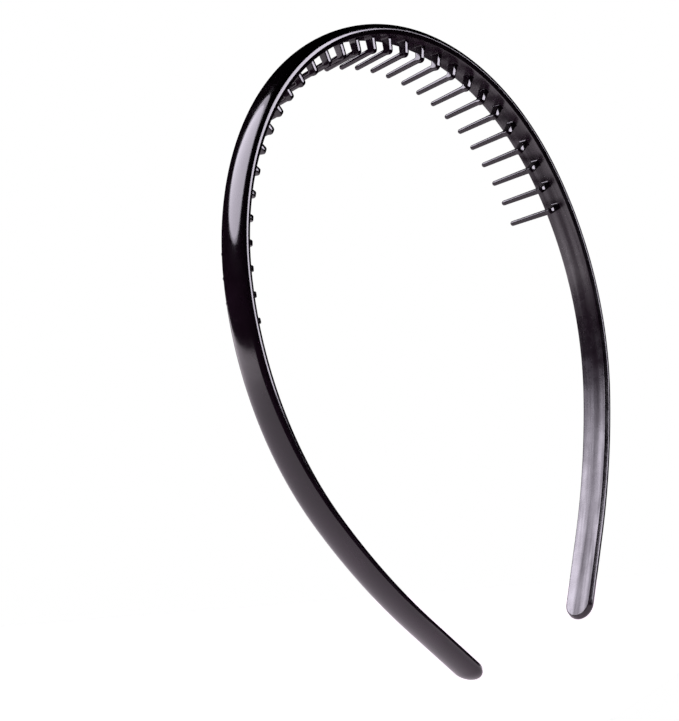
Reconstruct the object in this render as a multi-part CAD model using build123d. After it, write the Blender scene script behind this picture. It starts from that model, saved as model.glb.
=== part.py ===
from build123d import *
import os
from math import cos, degrees, radians, sin

os.makedirs("parts", exist_ok=True)

# A plastic comb headband: a springy U-shaped band with a row of bent comb teeth
# along its inner face. All sizes are in millimetres, angles in degrees.
# +X is to the right, +Y is the way the teeth point, +Z is up and the tips are at the bottom.

# Inner face of the band, from the middle of the crown to the end of one arm.
crown_radius = 55.3
crown_sweep = 74.0
side_radius = 71.0
side_sweep = 42.0
lower_radius = 144.0
lower_sweep = 13.0
straight_length = 20.0

# Section of the band: flat inside, sides that slope out to a narrow upright land, domed outside.
band_width = 6.9
band_thickness = 2.75
side_slope = 0.36
side_slope_height = 0.95
side_land = 0.25

# Comb teeth: a riser that stands on the inner face and a finger that points along +Y.
teeth_per_side = 15
tooth_pitch = 5.5
tooth_width = 1.3
riser_length = 1.9
riser_height = 3.65
riser_edge_radius = 0.25
riser_top_radius = 0.5
finger_start_height = 2.95
finger_length = 9.27
finger_lean = 9.3
end_tooth_extra_lean = 7.5
finger_end_radius = 0.56

# The band is cut where it bends most when it is pulled open: beside the crown and
# where the crown's arc ends, always midway between two teeth.
shoulder_cut_teeth = 7
cut_gap = 0.2

crown_length = crown_radius * radians(crown_sweep)
side_length = side_radius * radians(side_sweep)
lower_length = lower_radius * radians(lower_sweep)
tip_radius = band_width / 2
shoulder_cut = shoulder_cut_teeth * tooth_pitch
arm_cut = round(crown_length / tooth_pitch) * tooth_pitch


def station(x, z, angle):
    """A point on the inner face and how far the band has turned there."""
    return {"x": x, "z": z, "angle": angle}


def outward(at):
    return Vector(sin(radians(at["angle"])), 0, cos(radians(at["angle"])))


def forward(at):
    return Vector(cos(radians(at["angle"])), 0, -sin(radians(at["angle"])))


def along_arc(start, radius, length):
    """The station a given length further along an arc of the inner face."""
    centre = Vector(start["x"], 0, start["z"]) - outward(start) * radius
    end = station(0, 0, start["angle"] + degrees(length / radius))
    point = centre + outward(end) * radius
    return station(point.X, point.Z, end["angle"])


def along_line(start, length):
    point = Vector(start["x"], 0, start["z"]) + forward(start) * length
    return station(point.X, point.Z, start["angle"])


crown_middle = station(0, 0, 0)
crown_end = along_arc(crown_middle, crown_radius, crown_length)
side_end = along_arc(crown_end, side_radius, side_length)
lower_end = along_arc(side_end, lower_radius, lower_length)
tip_centre = along_line(lower_end, straight_length - tip_radius)

# Each run of the profile: where it starts, its radius (None is straight) and its length.
runs = [
    {"start": crown_middle, "radius": crown_radius, "length": crown_length},
    {"start": crown_end, "radius": side_radius, "length": side_length},
    {"start": side_end, "radius": lower_radius, "length": lower_length},
    {"start": lower_end, "radius": None, "length": straight_length - tip_radius},
]
half_length = sum(run["length"] for run in runs)


def along_run(run, length):
    if run["radius"] is None:
        return along_line(run["start"], length)
    return along_arc(run["start"], run["radius"], length)


def station_at(distance):
    """The station at a distance along the inner face from the middle of the crown."""
    for run in runs[:-1]:
        if distance <= run["length"]:
            return along_run(run, distance)
        distance -= run["length"]
    return along_run(runs[-1], distance)


def section_plane(at):
    """Across the band: local X is world +Y and local Y points out of the U."""
    return Plane(origin=(at["x"], 0, at["z"]), x_dir=(0, 1, 0), z_dir=forward(at))


half_width = band_width / 2
flat_half = half_width - side_slope
land_top = side_slope_height + side_land
dome_rise = band_thickness - land_top

section = make_face([
    Line((-flat_half, 0), (flat_half, 0)),
    Line((flat_half, 0), (half_width, side_slope_height)),
    Line((half_width, side_slope_height), (half_width, land_top)),
    EllipticalCenterArc((0, land_top), half_width, dome_rise, start_angle=0, arc_size=180),
    Line((-half_width, land_top), (-half_width, side_slope_height)),
    Line((-half_width, side_slope_height), (-flat_half, 0)),
])
half_section = make_face([
    Line((0, 0), (flat_half, 0)),
    Line((flat_half, 0), (half_width, side_slope_height)),
    Line((half_width, side_slope_height), (half_width, land_top)),
    EllipticalCenterArc((0, land_top), half_width, dome_rise, start_angle=0, arc_size=90),
    Line((0, band_thickness), (0, 0)),
])


def stretch(first, last):
    """The solid band between two distances along the inner face."""
    pieces = []
    run_start = 0
    for run in runs:
        low = max(first - run_start, 0)
        high = min(last - run_start, run["length"])
        run_start += run["length"]
        if high - low < 0.001:
            continue
        at = along_run(run, low)
        face = section_plane(at) * section
        if run["radius"] is None:
            pieces.append(extrude(face, amount=high - low, dir=forward(at)))
        else:
            centre = Vector(at["x"], 0, at["z"]) - outward(at) * run["radius"]
            turn = degrees((high - low) / run["radius"])
            pieces.append(revolve(face, Axis(centre, (0, 1, 0)), turn))
    whole = pieces[0]
    for piece in pieces[1:]:
        whole += piece
    return whole


def rounded_tip():
    """Half a turn of the half section, which closes the end of an arm."""
    plane = section_plane(tip_centre)
    return revolve(plane * half_section, Axis(plane.origin, outward(tip_centre) * -1), 180)


def lean_at(distance):
    """How far a finger leans into the U. The end teeth lean most, to clear the arms."""
    last_tooth = (teeth_per_side - 0.5) * tooth_pitch
    return finger_lean + end_tooth_extra_lean * (distance / last_tooth) ** 2


def tooth(at, lean):
    """One bent tooth standing on the inner face at a station."""
    root_depth = 0.4
    riser = extrude(RectangleRounded(tooth_width, riser_length, riser_edge_radius),
                    riser_height + root_depth)
    riser = Pos(0, 0, -root_depth) * riser
    riser = fillet(riser.faces().sort_by(Axis.Z)[-1].edges(), riser_top_radius)
    start = Vector(0, 0, finger_start_height)
    along = Vector(0, cos(radians(lean)), sin(radians(lean)))
    outline = make_face([
        Line((0, 0), (tooth_width / 2, 0)),
        Line((tooth_width / 2, 0), (finger_end_radius, finger_length)),
        CenterArc((0, finger_length), finger_end_radius, 0, 90),
        Line((0, finger_length + finger_end_radius), (0, 0)),
    ])
    finger = revolve(Plane.XZ * outline, Axis.Z, 360)
    finger = Plane(origin=start, x_dir=(1, 0, 0), z_dir=along) * finger
    inward = Plane(origin=(at["x"], 0, at["z"]), x_dir=forward(at) * -1, z_dir=outward(at) * -1)
    return inward * (riser + finger)


# Right half of the headband. The left half is its mirror image.
band = {
    "shoulder": stretch(shoulder_cut + cut_gap / 2, arm_cut - cut_gap / 2),
    "arm": stretch(arm_cut + cut_gap / 2, half_length) + rounded_tip(),
}
half_crown = stretch(0, shoulder_cut - cut_gap / 2)
crown = half_crown + mirror(half_crown, about=Plane.YZ)

nodes = {"crown": crown}
for part_name, shape in band.items():
    nodes[f"right_{part_name}"] = shape
    nodes[f"left_{part_name}"] = mirror(shape, about=Plane.YZ)

for number in range(1, teeth_per_side + 1):
    distance = (number - 0.5) * tooth_pitch
    if distance < shoulder_cut:
        base = crown
    elif distance < arm_cut:
        base = band["shoulder"]
    else:
        base = band["arm"]
    shape = tooth(station_at(distance), lean_at(distance)) - base
    nodes[f"right_tooth_{number:02d}"] = shape
    nodes[f"left_tooth_{number:02d}"] = mirror(shape, about=Plane.YZ)

# Stand the headband on its tips, centred over the origin.
whole = Compound(children=[Compound(shape.wrapped) for shape in nodes.values()])
box = whole.bounding_box()
shift = Pos(0, -(box.min.Y + box.max.Y) / 2, -box.min.Z)

for name, shape in nodes.items():
    export_step(shift * shape, f"parts/{name}.step")

print(f"{len(nodes)} nodes, {box.size.X:.1f} x {box.size.Y:.1f} x {box.size.Z:.1f} mm")
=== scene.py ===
from math import cos, degrees, pi, radians, sin, sqrt

import bmesh
import bpy
from mathutils import Matrix, Vector


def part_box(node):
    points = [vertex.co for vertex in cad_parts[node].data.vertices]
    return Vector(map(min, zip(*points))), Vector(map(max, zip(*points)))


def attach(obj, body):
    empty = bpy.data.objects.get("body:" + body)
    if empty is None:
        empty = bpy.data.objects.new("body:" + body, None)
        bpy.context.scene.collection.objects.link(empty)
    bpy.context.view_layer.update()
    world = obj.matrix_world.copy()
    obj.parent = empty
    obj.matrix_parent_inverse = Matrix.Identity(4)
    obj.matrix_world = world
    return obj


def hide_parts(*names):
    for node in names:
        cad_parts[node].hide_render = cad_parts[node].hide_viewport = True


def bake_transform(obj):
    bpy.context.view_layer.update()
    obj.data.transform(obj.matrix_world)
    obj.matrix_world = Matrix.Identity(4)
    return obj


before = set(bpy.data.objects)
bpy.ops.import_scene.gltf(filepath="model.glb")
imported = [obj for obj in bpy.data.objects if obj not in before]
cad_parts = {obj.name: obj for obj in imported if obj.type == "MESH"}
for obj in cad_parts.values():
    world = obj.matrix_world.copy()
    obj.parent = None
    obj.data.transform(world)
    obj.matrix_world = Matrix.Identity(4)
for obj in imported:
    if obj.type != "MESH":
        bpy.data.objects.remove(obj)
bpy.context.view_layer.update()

mm = 0.001

# the run of the inner face from the middle of the crown to the end of an arm, in mm and degrees
bandPath = {
    "arcs": [(55.3, 74.0), (71.0, 42.0), (144.0, 13.0)],
    "straight": 20.0,
    "ringSpacing": 1.0,      # along the band
    "tipSteps": 20,
}
bandSection = {
    "width": 6.9,
    "thickness": 2.75,
    "slope": 0.36,           # how far each side slopes out
    "slopeHeight": 0.95,
    "cornerEase": 0.2,       # softening of the inner corner
    "landEase": 0.08,
    "sideLand": 0.25,
    "landDraft": 0.012,      # how much the band narrows up the land
    "inset": 0.01,           # keeps the skin just inside the moulding's own size
    "flatSteps": 12,
    "easeSteps": 5,
    "domeSteps": 32,
    "satinDepth": 0.05,      # how far up the side the satin inner face reaches
    "satinFade": 0.2,
}
toothShape = {
    "perSide": 15,
    "pitch": 5.5,
    "width": 1.3,
    "depth": 1.8,            # of the riser, along Y
    "draft": 0.09,           # how much deeper each side is at the root
    "height": 3.65,
    "rootDepth": 0.4,        # how far it runs into the band
    "cornerRadius": 0.8,     # outside of the bend
    "elbowRadius": 0.18,     # inside of the bend
    "length": 9.27,          # of the finger, from the middle of the riser
    "lean": 9.3,             # degrees the finger leans further into the U
    "endExtraLean": 7.5,     # more of it on the teeth at the ends of the row
    "fingerDepth": 1.42,
    "endWidth": 1.12,
    "footFlare": 0.22,
    "square": 8,             # how boxy the riser is: 2 would be round
    "fingerSquare": 2.6,     # the same where the finger starts
    "roundSquare": 2,
    # height and share of the flare, up the foot
    "footRings": [(-0.05, 1.0), (0.04, 0.62), (0.12, 0.3), (0.22, 0.1), (0.36, 0.0)],
    "riserShares": [0.4, 0.75, 1.0],    # from the top of the foot to the bend
    "bendSteps": 10,
    "minBendDepth": 0.2,
    "fingerSteps": 8,
    "endSteps": 6,
    "pointSize": 0.002,
    "ringPoints": 32,
}
joints = {
    "shoulder": 38.5,        # distance along the inner face, mm
    "arm": 71.5,
    "bendLength": 16.0,      # teeth within half of this of a joint are not attached to a body
    "pieceCut": 55.0,        # where the upper and lower skins meet
}

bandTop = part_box("crown")[1][2]
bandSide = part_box("crown")[0][1]
apexHeight = bandTop / mm - bandSection["thickness"]
bandMiddle = bandSide / mm + bandSection["width"] / 2


def outward(angle):
    return Vector((sin(radians(angle)), 0, cos(radians(angle))))


def forward(angle):
    return Vector((cos(radians(angle)), 0, -sin(radians(angle))))


# each run as its start point, start angle, radius (0 is straight) and length
def bandRuns():
    runs = []
    point, angle = Vector((0, bandMiddle, apexHeight)), 0.0
    for radius, sweep in bandPath["arcs"]:
        centre = point - outward(angle) * radius
        runs.append({"point": point, "angle": angle, "radius": radius, "centre": centre,
                     "length": radius * radians(sweep)})
        angle += sweep
        point = centre + outward(angle) * radius
    runs.append({"point": point, "angle": angle, "radius": 0, "centre": None,
                 "length": bandPath["straight"] - bandSection["width"] / 2})
    return runs


runs = bandRuns()
halfLength = sum(run["length"] for run in runs)


def stationAt(distance):
    for run in runs:
        if distance <= run["length"] + 1e-6 or run is runs[-1]:
            if run["radius"] == 0:
                return run["point"] + forward(run["angle"]) * distance, run["angle"]
            angle = run["angle"] + degrees(distance / run["radius"])
            return run["centre"] + outward(angle) * run["radius"], angle
        distance -= run["length"]


def acrossMatrix(point, angle):
    # local X is world +Y, local Y points out of the U, local Z runs along the band
    out, ahead = outward(angle), forward(angle)
    return Matrix(((0, out.x, ahead.x, point.x), (1, out.y, ahead.y, point.y),
                   (0, out.z, ahead.z, point.z), (0, 0, 0, 1)))


def easedCorner(corner, before, after, reach):
    # a curve that leaves the corner out: straight lines arrive along before and leave along after
    steps = bandSection["easeSteps"]
    start, end = corner - before * reach, corner + after * reach
    points = []
    for i in range(steps + 1):
        t = i / steps
        points.append(start * (1 - t) ** 2 + corner * 2 * t * (1 - t) + end * t * t)
    return points


def sectionPoints():
    # across the band and out of the U: along the flat inside, up the +Y side, over the dome, down the -Y side
    s = bandSection
    half, low = s["width"] / 2 - s["inset"], s["inset"]
    flat, landTop = half - s["slope"], s["slopeHeight"] + s["sideLand"]
    rise, narrow = s["thickness"] - s["inset"] - landTop, half - s["landDraft"]
    up = Vector((s["slope"], s["slopeHeight"] - low)).normalized()
    side = easedCorner(Vector((flat, low)), Vector((1, 0)), up, s["cornerEase"])
    side += easedCorner(Vector((half, s["slopeHeight"])), up, Vector((0, 1)), s["landEase"])
    side.append(Vector((narrow, landTop)))
    flatHalf = flat - 2 * s["cornerEase"]
    inside = [(-flatHalf + 2 * flatHalf * i / s["flatSteps"], low) for i in range(s["flatSteps"] + 1)]
    dome = [(narrow * cos(pi * i / s["domeSteps"]), landTop + rise * sin(pi * i / s["domeSteps"]))
            for i in range(1, s["domeSteps"])]
    return inside + [tuple(p) for p in side] + dome + [(-p.x, p.y) for p in reversed(side)]


def newObject(name, bm):
    mesh = bpy.data.meshes.new(name)
    bm.to_mesh(mesh)
    bm.free()
    mesh.transform(Matrix.Scale(mm, 4))
    mesh.polygons.foreach_set("use_smooth", [True] * len(mesh.polygons))
    obj = bpy.data.objects.new(name, mesh)
    bpy.context.scene.collection.objects.link(obj)
    return obj


def bandSkin(name, first, last, closeEnd, side):
    bm = bmesh.new()
    points = sectionPoints()
    inner = bm.verts.layers.float.new("innerFace")
    ring = bmesh.ops.create_circle(bm, segments=len(points), radius=1)["verts"]
    point, angle = stationAt(first)
    place = acrossMatrix(point, angle)
    for vert, (across, out) in zip(ring, points):
        vert.co = place @ Vector((across, out, 0))
        vert[inner] = max(0, 1 - max(0, out - bandSection["satinDepth"]) / bandSection["satinFade"])
    edges = bm.edges[:]
    position = 0.0
    for run in runs:
        low, high = max(first - position, 0), min(last - position, run["length"])
        position += run["length"]
        if high - low < 1e-4:
            continue
        steps = max(2, round((high - low) / bandPath["ringSpacing"]))
        verts = list({v for e in edges for v in e.verts})
        if run["radius"]:
            out = bmesh.ops.spin(bm, geom=verts + edges, cent=run["centre"], axis=(0, 1, 0),
                                 angle=(high - low) / run["radius"], steps=steps)
        else:
            out = bmesh.ops.spin(bm, geom=verts + edges, cent=run["point"], axis=(0, 1, 0), angle=0,
                                 dvec=forward(run["angle"]) * (high - low) / steps, steps=steps)
        edges = [g for g in out["geom_last"] if isinstance(g, bmesh.types.BMEdge)]
    if closeEnd:
        tip, angle = stationAt(halfLength)
        half = [e for e in edges if all(v.co.y > bandMiddle - 1e-4 for v in e.verts)]
        verts = list({v for e in half for v in e.verts})
        bmesh.ops.spin(bm, geom=verts + half, cent=tip, axis=outward(angle) * -1,
                       angle=pi, steps=bandPath["tipSteps"])
        bmesh.ops.remove_doubles(bm, verts=bm.verts, dist=0.002)
        bmesh.ops.dissolve_degenerate(bm, edges=bm.edges, dist=0.0005)
    if side < 0:
        bmesh.ops.scale(bm, vec=(-1, 1, 1), verts=bm.verts)
    bmesh.ops.recalc_face_normals(bm, faces=bm.faces)
    return newObject(name, bm)


def bodyName(distance, sideName):
    if distance < joints["shoulder"]:
        return "crown"
    return sideName + ("_shoulder" if distance < joints["arm"] else "_arm")


def bendAcross(obj, joint):
    for offset in (-joints["bendLength"] / 2, joints["bendLength"] / 2):
        point, angle = stationAt(joints[joint])
    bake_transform(obj)


# ---- materials
def srgb(hexValue):
    values = [int(hexValue[i:i + 2], 16) / 255 for i in (1, 3, 5)]
    return [v / 12.92 if v <= 0.04045 else ((v + 0.055) / 1.055) ** 2.4 for v in values] + [1.0]


def addNode(tree, kind, settings=None, links=None):
    node = tree.nodes.new(kind)
    for key, value in (settings or {}).items():
        if isinstance(key, int) or key in node.inputs:
            node.inputs[key].default_value = value
        else:
            setattr(node, key, value)
    for key, socket in (links or {}).items():
        tree.links.new(socket, node.inputs[key])
    return node


finish = {
    "polished": (0.07, 0.15),      # roughness of the outside
    "satin": (0.2, 0.34),          # and of the inner face
    # painted streaks and a painted dark stripe in the inner face's reflection
    "paintedStreakScale": (60.0, 620.0, 26.0),
    "paintedStreakMirror": (0.32, 0.85),  # painted streaks in the reflection: how strongly the inner face mirrors, from streak to streak
    "paintedStripeMirror": (0.5, 1.05),     # and from the painted dark stripe to the edges
    "paintedStripeWidth": (0.0003, 0.0017),
    "paintedStripeShift": 0.0004,           # of the painted dark stripe from the middle, toward -Y
    "darkPigment": "#170e16",
    "lightPigment": "#2b1c2a",
}


# glossy black polypropylene, injection moulded: near-black with a violet cast. The outside is polished by the
# mould, with slow flow ripples; the inner face is satin, with painted shade in its reflection: faint streaks
# and a dark stripe
def mouldedBlack():
    material = bpy.data.materials.new("glossyBlackPolypropylene")
    material.use_nodes = True
    tree = material.node_tree
    shader = tree.nodes["Principled BSDF"]
    coords = addNode(tree, "ShaderNodeTexCoord").outputs["Object"]
    inner = addNode(tree, "ShaderNodeAttribute", {"attribute_name": "innerFace"}).outputs["Fac"]

    # cloudy wear in the gloss, a few millimetres across
    haze = addNode(tree, "ShaderNodeTexNoise", {"Scale": 240.0, "Detail": 4.0, "Roughness": 0.6},
                   {"Vector": coords}).outputs["Fac"]
    low, high = finish["polished"]
    polished = addNode(tree, "ShaderNodeMapRange",
                       {"From Min": 0.35, "From Max": 0.75, "To Min": low, "To Max": high},
                       {"Value": haze}).outputs["Result"]
    low, high = finish["satin"]
    satin = addNode(tree, "ShaderNodeMapRange",
                    {"From Min": 0.3, "From Max": 0.7, "To Min": low, "To Max": high},
                    {"Value": haze}).outputs["Result"]
    gloss = addNode(tree, "ShaderNodeMix", None, {"Factor": inner, "A": polished, "B": satin})
    tree.links.new(gloss.outputs["Result"], shader.inputs["Roughness"])

    # painted streaks along the arms: the satin face's reflection is painted darker in bands
    paintedStreakCoords = addNode(tree, "ShaderNodeMapping", {"Scale": finish["paintedStreakScale"]}, {"Vector": coords})
    paintedStreakNoise = addNode(tree, "ShaderNodeTexNoise", {"Scale": 1.0, "Detail": 2.5, "Roughness": 0.55},
                     {"Vector": paintedStreakCoords.outputs["Vector"]})
    low, high = finish["paintedStreakMirror"]
    paintedReflectionDimming = addNode(tree, "ShaderNodeMapRange",
                     {"From Min": 0.36, "From Max": 0.64, "To Min": low, "To Max": high},
                     {"Value": paintedStreakNoise.outputs["Fac"]}).outputs["Result"]
    # a painted dark stripe near the middle of the inner face, where its reflection is painted darkest
    across = addNode(tree, "ShaderNodeSeparateXYZ", None, {"Vector": coords}).outputs["Y"]
    paintedStripeLine = bandMiddle * mm - finish["paintedStripeShift"]
    fromPaintedStripe = addNode(tree, "ShaderNodeMath", {"operation": "SUBTRACT", 1: paintedStripeLine}, {0: across})
    fromPaintedStripe = addNode(tree, "ShaderNodeMath", {"operation": "ABSOLUTE"}, {0: fromPaintedStripe.outputs["Value"]})
    low, high = finish["paintedStripeMirror"]
    paintedStripe = addNode(tree, "ShaderNodeMapRange",
                   {"From Min": finish["paintedStripeWidth"][0], "From Max": finish["paintedStripeWidth"][1],
                    "To Min": low, "To Max": high},
                   {"Value": fromPaintedStripe.outputs["Value"]}).outputs["Result"]
    # painted streaks times the painted stripe: painted shade in the inner face's reflection, set as its
    # specular level
    paintedReflectionDimming = addNode(tree, "ShaderNodeMath", {"operation": "MULTIPLY"}, {0: paintedReflectionDimming, 1: paintedStripe}).outputs["Value"]
    level = addNode(tree, "ShaderNodeMix", {"A": 0.5}, {"Factor": inner, "B": paintedReflectionDimming}).outputs["Result"]
    tree.links.new(level, shader.inputs["Specular IOR Level"])

    # pigment that swirls a little from batch mixing
    swirl = addNode(tree, "ShaderNodeTexNoise", {"Scale": 140.0, "Detail": 2.0, "Distortion": 0.6},
                    {"Vector": coords})
    ramp = addNode(tree, "ShaderNodeValToRGB", None, {"Fac": swirl.outputs["Fac"]})
    ramp.color_ramp.elements[0].color = srgb(finish["darkPigment"])
    ramp.color_ramp.elements[1].color = srgb(finish["lightPigment"])
    tree.links.new(ramp.outputs["Color"], shader.inputs["Base Color"])

    # ripples everywhere, and fine grain on the inner face
    ripple = addNode(tree, "ShaderNodeTexNoise", {"Scale": 220.0, "Detail": 1.5}, {"Vector": coords})
    grain = addNode(tree, "ShaderNodeTexNoise", {"Scale": 1600.0, "Detail": 2.0}, {"Vector": coords})
    grain = addNode(tree, "ShaderNodeMath", {"operation": "MULTIPLY"}, {0: grain.outputs["Fac"], 1: inner})
    first = addNode(tree, "ShaderNodeBump", {"Strength": 0.12, "Distance": 0.0001},
                    {"Height": ripple.outputs["Fac"]})
    second = addNode(tree, "ShaderNodeBump", {"Strength": 0.25, "Distance": 0.00002},
                     {"Height": grain.outputs["Value"], "Normal": first.outputs["Normal"]})
    tree.links.new(second.outputs["Normal"], shader.inputs["Normal"])
    shader.inputs["IOR"].default_value = 1.49
    return material


black = mouldedBlack()


# ---- band
sides = {"right": 1, "left": -1}
for sideName, sideSign in sides.items():
    upper = bandSkin(sideName + "UpperBand", 0, joints["pieceCut"], False, sideSign)
    lower = bandSkin(sideName + "LowerBand", joints["pieceCut"], halfLength, True, sideSign)
    for obj in (upper, lower):
        obj.data.materials.append(black)
    bendAcross(upper, "shoulder")
    bendAcross(lower, "arm")
    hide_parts("crown", sideName + "_shoulder")
    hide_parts(sideName + "_arm")
print("band skins made")


# ---- teeth
def ringPoint(turn, halfWide, halfDeep, square):
    # a rounded rectangle as a superellipse: square 2 is an ellipse, more is boxier
    c, s = cos(turn), sin(turn)
    return (halfWide * (abs(c) ** (2 / square)) * (1 if c >= 0 else -1),
            halfDeep * (abs(s) ** (2 / square)) * (1 if s >= 0 else -1))


def bendReach(angle):
    # distance from the inside of the bend to its rounded outer corner, at an angle above the riser's back
    t = toothShape
    deep = t["depth"]
    top = t["height"] - fingerUnder()
    radius = t["cornerRadius"]
    direction = Vector((-cos(angle), sin(angle)))
    centre = Vector((-deep + radius, top - radius))
    toSide = deep / max(cos(angle), 1e-6)
    toTop = top / max(sin(angle), 1e-6)
    if toSide * sin(angle) <= centre.y:
        return toSide
    if toTop * cos(angle) <= -centre.x:
        return toTop
    along = direction.dot(centre)
    return along + sqrt(max(along * along - centre.length_squared + radius * radius, 0))


def fingerUnder():
    # height of the finger's underside where it leaves the riser
    return toothShape["height"] - toothShape["fingerDepth"]


def leanAt(distance):
    t = toothShape
    return t["lean"] + t["endExtraLean"] * (distance / ((t["perSide"] - 0.5) * t["pitch"])) ** 2


def toothRings(leanAngle):
    # each ring as centre y, centre z, tilt, half width, half depth and squareness
    t = toothShape
    half, wide = t["depth"] / 2, t["width"] / 2
    rings = []
    for height, flare in [(-t["rootDepth"], 1.0)] + t["footRings"]:
        grow = flare * t["footFlare"]
        rings.append((0, height, 0, wide + grow, half + t["draft"] + grow, t["square"]))
    foot = t["footRings"][-1][0]
    under = fingerUnder() - t["elbowRadius"]
    for share in t["riserShares"]:
        rings.append((0, foot + (under - foot) * share, 0, wide,
                      half + t["draft"] * (1 - share), t["square"]))
    pivot = Vector((half + t["elbowRadius"], under))
    turn = radians(90 - leanAngle)
    near = t["elbowRadius"]
    for i in range(1, t["bendSteps"] + 1):
        share = i / t["bendSteps"]
        angle = turn * share
        direction = Vector((-cos(angle), sin(angle)))
        far = max(bendReach(min(angle, radians(89))) + near * (1 - share), near + t["minBendDepth"])
        middle = pivot + direction * (near + far) / 2
        rings.append((middle.x, middle.y, angle, wide, (far - near) / 2,
                      t["square"] + (t["fingerSquare"] - t["square"]) * share))
    deep = rings[-1][4]
    start = Vector(rings[-1][:2])
    lean = Vector((cos(radians(leanAngle)), sin(radians(leanAngle))))
    endRadius = t["endWidth"] / 2
    length = t["length"] - start.x / lean.x
    for i in range(1, t["fingerSteps"] + 1):
        share = i / t["fingerSteps"]
        point = start + lean * length * share
        rings.append((point.x, point.y, turn,
                      wide + (endRadius - wide) * share, deep + (endRadius - deep) * share,
                      t["fingerSquare"] + (t["roundSquare"] - t["fingerSquare"]) * share))
    for i in range(1, t["endSteps"] + 1):
        angle = pi / 2 * i / t["endSteps"]
        point = start + lean * (length + endRadius * sin(angle))
        size = max(endRadius * cos(angle), t["pointSize"])
        rings.append((point.x, point.y, turn, size, size, t["roundSquare"]))
    return rings


def toothMesh(name, distance, sideSign):
    t = toothShape
    bm = bmesh.new()
    ring = bmesh.ops.create_circle(bm, cap_ends=True, segments=t["ringPoints"], radius=1)["verts"]
    edges = bm.edges[:]

    def shape(verts, spec):
        y, z, tilt, wide, deep, square = spec
        for i, vert in enumerate(verts):
            turnAt = 2 * pi * i / len(verts)
            x, d = ringPoint(turnAt, wide, deep, square)
            vert.co = (x, y + d * cos(tilt), z - d * sin(tilt))

    order = ring
    specs = toothRings(leanAt(distance))
    shape(order, specs[0])
    for spec in specs[1:]:
        out = bmesh.ops.extrude_edge_only(bm, edges=edges)["geom"]
        newVerts = [g for g in out if isinstance(g, bmesh.types.BMVert)]
        edges = [g for g in out if isinstance(g, bmesh.types.BMEdge)
                 and all(v in newVerts for v in g.verts)]
        linked = []
        for old in order:
            linked.append(next(e.other_vert(old) for e in old.link_edges if e.other_vert(old) in newVerts))
        order = linked
        shape(order, spec)
    bmesh.ops.pointmerge(bm, verts=order, merge_co=sum((v.co for v in order), Vector()) / len(order))
    bmesh.ops.recalc_face_normals(bm, faces=bm.faces)
    point, angle = stationAt(distance)
    inward, ahead = outward(angle) * -1, forward(angle)
    place = Matrix(((ahead.x, 0, inward.x, point.x), (0, 1, 0, point.y),
                    (ahead.z, 0, inward.z, point.z), (0, 0, 0, 1)))
    bmesh.ops.transform(bm, matrix=place, verts=bm.verts)
    if sideSign < 0:
        bmesh.ops.scale(bm, vec=(-1, 1, 1), verts=bm.verts)
    bmesh.ops.recalc_face_normals(bm, faces=bm.faces)
    return newObject(name, bm)


for sideName, sideSign in sides.items():
    for number in range(1, toothShape["perSide"] + 1):
        distance = (number - 0.5) * toothShape["pitch"]
        tooth = toothMesh(f"{sideName}Tooth{number:02d}", distance, sideSign)
        tooth.data.materials.append(black)
        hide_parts(f"{sideName}_tooth_{number:02d}")
        reach = joints["bendLength"] / 2
        near = next((j for j in ("shoulder", "arm") if abs(joints[j] - distance) < reach), None)
        if near:
            bendAcross(tooth, near)
        else:
            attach(tooth, bodyName(distance, sideName))
print("teeth made")

# ---- studio
studio = {
    "paperRadius": 1.5,
    "paperStart": -93,       # degrees from +Y toward +X between which the paper lies
    "paperEnd": 13,
    "paperCorner": (0.04, -0.06, 0),
    "paperTint": (1.1, 1.0, 1.09, 1),
    "rimRings": [(0.02, 1.04), (0.07, 1.07), (0.2, 1.08)],    # height, share of the radius
    "paperDrop": 0.0002,
    "glowStart": 0.3,        # distances from the middle between which the glow grows
    "glowEnd": 1.2,
    "nearGlow": 1.01,
    "farGlow": 1.6,
    "lampTint": (1.0, 0.93, 1.08),
    "overheadGlow": 9.5,
    "sideGlow": 12.0,
}


def paperSheet():
    bm = bmesh.new()
    bmesh.ops.create_circle(bm, cap_ends=True, segments=96, radius=studio["paperRadius"])
    rim = [e for e in bm.edges if e.is_boundary]
    for rise, grow in studio["rimRings"]:
        out = bmesh.ops.extrude_edge_only(bm, edges=rim)["geom"]
        rimVerts = [g for g in out if isinstance(g, bmesh.types.BMVert)]
        rim = [g for g in out if isinstance(g, bmesh.types.BMEdge) and all(v in rimVerts for v in g.verts)]
        for vert in rimVerts:
            flat = Vector((vert.co.x, vert.co.y, 0)).normalized() * studio["paperRadius"] * grow
            vert.co = (flat.x, flat.y, rise)
    for turnAt, side in ((studio["paperStart"], -1), (studio["paperEnd"], 1)):
        across = Vector((cos(radians(turnAt)), -sin(radians(turnAt)), 0)) * side
        bmesh.ops.bisect_plane(bm, geom=bm.verts[:] + bm.edges[:] + bm.faces[:], clear_outer=True,
                               plane_co=studio["paperCorner"], plane_no=across)
    mesh = bpy.data.meshes.new("paper")
    bm.to_mesh(mesh)
    bm.free()
    paper = bpy.data.objects.new("paper", mesh)
    paper.location = (0, 0, -studio["paperDrop"])
    bpy.context.scene.collection.objects.link(paper)
    return paper


# matt white paper that glows by itself, more towards its far edge
def litPaper():
    sheet = bpy.data.materials.new("litWhitePaper")
    sheet.use_nodes = True
    tree = sheet.node_tree
    shader = tree.nodes["Principled BSDF"]
    shader.inputs["Base Color"].default_value = srgb("#f2f1f2")
    shader.inputs["Roughness"].default_value = 0.9
    shader.inputs["Emission Color"].default_value = studio["paperTint"]
    coords = addNode(tree, "ShaderNodeTexCoord").outputs["Object"]
    reach = addNode(tree, "ShaderNodeVectorMath", {"operation": "LENGTH"}, {0: coords})
    glow = addNode(tree, "ShaderNodeMapRange",
                   {"From Min": studio["glowStart"], "From Max": studio["glowEnd"],
                    "To Min": studio["nearGlow"], "To Max": studio["farGlow"]},
                   {"Value": reach.outputs["Value"]})
    tree.links.new(glow.outputs["Result"], shader.inputs["Emission Strength"])
    return sheet


paper = paperSheet()
paper.data.materials.append(litPaper())

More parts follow.
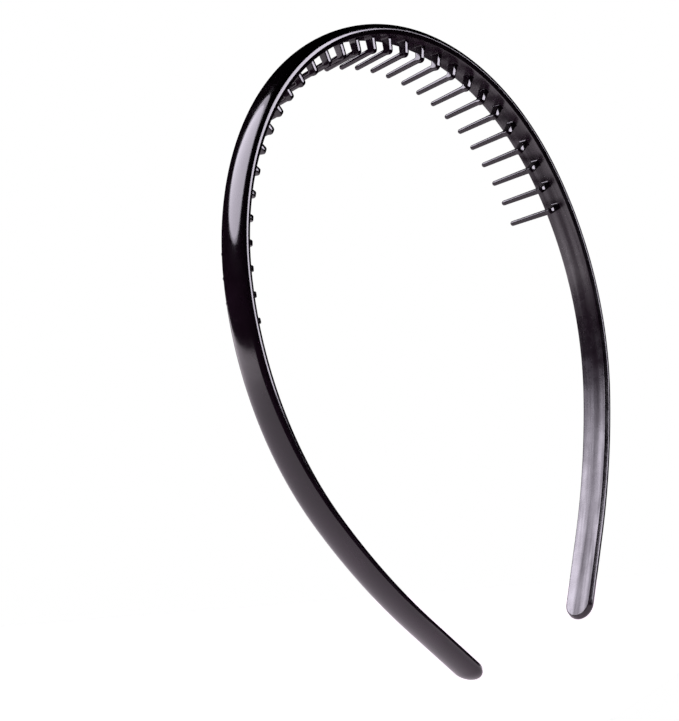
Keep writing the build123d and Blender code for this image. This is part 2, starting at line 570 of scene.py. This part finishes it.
# the room is white to the eye but dark to the gloss, so the plastic mirrors only the softboxes and the paper
world = bpy.data.worlds.new("whiteRoom")
bpy.context.scene.world = world
world.use_nodes = True
world.node_tree.nodes["Background"].inputs["Color"].default_value = (1, 1, 1, 1)
world.node_tree.nodes["Background"].inputs["Strength"].default_value = 1.0
world.cycles_visibility.glossy = False
world.cycles_visibility.diffuse = False
bpy.context.scene.view_settings.view_transform = "Standard"


def softBox(name, shape, centre, size, glow, aim=None):
    data = bpy.data.lights.new(name, "AREA")
    data.shape = shape
    data.size, data.size_y = size
    data.color = studio["lampTint"]
    data.energy = glow * pi * size[0] * size[1] * (pi / 4 if shape == "ELLIPSE" else 1)
    lamp = bpy.data.objects.new(name, data)
    lamp.location = centre
    if aim:
        lamp.rotation_euler = (Vector(aim) - Vector(centre)).to_track_quat("-Z", "Y").to_euler()
    lamp.visible_diffuse = False
    bpy.context.scene.collection.objects.link(lamp)


# a round box overhead, behind and to the left, brighter in the middle, and an upright one in front
softBox("overheadRim", "ELLIPSE", (-0.53, 0.5, 1.07), (1.42, 1.42), studio["overheadGlow"] * 0.5)
softBox("overheadMiddle", "ELLIPSE", (-0.53, 0.5, 1.06), (1.25, 1.25), studio["overheadGlow"] * 0.5)
softBox("sideBox", "RECTANGLE", (0.575, -0.756, 0.45), (0.52, 0.94), studio["sideGlow"], aim=(0, 0, 0.45))

# ---- camera
cameraView = {
    "location": (-0.48434, -0.39234, 0.11906),
    "direction": (0.75587, 0.65012, -0.07746),
    "roll": 16.93,
    "lens": 147.07,
}
cameraData = bpy.data.cameras.new("camera")
cameraData.sensor_width = 36
cameraData.lens = cameraView["lens"]
camera = bpy.data.objects.new("camera", cameraData)
turn = Vector(cameraView["direction"]).to_track_quat("-Z", "Y").to_matrix().to_4x4()
camera.matrix_world = (Matrix.Translation(cameraView["location"]) @ turn
                       @ Matrix.Rotation(-radians(cameraView["roll"]), 4, "Z"))
bpy.context.scene.collection.objects.link(camera)
bpy.context.scene.camera = camera
print("studio made")
